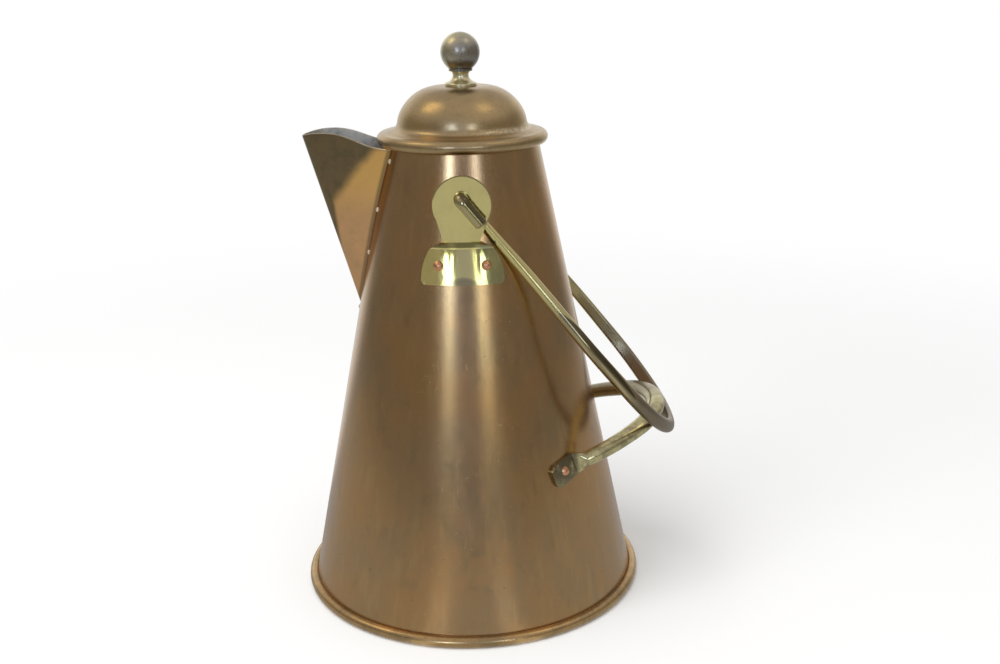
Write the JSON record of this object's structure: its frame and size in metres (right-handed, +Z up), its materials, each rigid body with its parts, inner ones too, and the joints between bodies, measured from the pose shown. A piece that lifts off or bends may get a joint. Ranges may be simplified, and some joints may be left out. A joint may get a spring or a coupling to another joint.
{
  "type": "antique tea kettle",
  "caption": "Tall conical copper kettle with a beak spout, a swinging brass bail, a fixed back handle and a lift-off domed lid with a ball knob.",
  "frame": {"origin": "centre of the flat underside, on the kettle's axis", "axes": "+Z up along the kettle's axis, -X towards the spout, +X towards the back handle, -Y towards the near lug"},
  "size_m": [0.2413, 0.2186, 0.35],
  "materials": {
    "aged_copper": null,
    "tinned_spout_copper": "aged copper outside, grey tinned inside",
    "bottom_bead": "golden brown copper, traces of green in the groove",
    "polished_brass": "polished pale yellow-green brass",
    "aged_brass": "dull olive brass with worn bright edges",
    "lid_bronze": "dull brown, evenly darkened",
    "knob_bronze": "dark grey bronze with brassy highlights",
    "rivet_copper": "salmon pink copper",
    "solder": "dull grey tin solder",
    "iron_wire": "plain wire",
    "stud_steel": "plain steel"
  },
  "bodies": {
    "kettle": {"body_cone": "aged_copper", "bottom_disc": "bottom_bead", "foot_wire": "iron_wire", "spout": "tinned_spout_copper", "spout_tacks": "solder", "near_lug": "polished_brass", "far_lug": "polished_brass", "near_lug_rivet_front": "rivet_copper", "near_lug_rivet_back": "rivet_copper", "far_lug_rivet_front": "rivet_copper", "far_lug_rivet_back": "rivet_copper", "near_handle_rivet": "rivet_copper", "far_handle_rivet": "rivet_copper", "back_handle": "aged_brass"},
    "bail": {"bail": "polished_brass"},
    "lid": {"lid_dome": "lid_bronze", "lid_wire": "iron_wire", "lid_collar": "lid_bronze", "knob_pedestal": "knob_bronze", "knob_ball": "knob_bronze", "knob_stud": "stud_steel", "knob_washer": "stud_steel", "knob_nut": "stud_steel"}
  },
  "joints": [
    {"name": "bail_swing", "type": "hinge", "parent": "kettle", "child": "bail", "pos_m": [0, 0, 0.2617], "axis": [0, -1, 0], "range_deg": [0, 283]},
    {"name": "lid_lift", "type": "slide", "parent": "kettle", "child": "lid", "axis": [0, 0, 1], "range_m": [0, 0.065]}
  ]
}
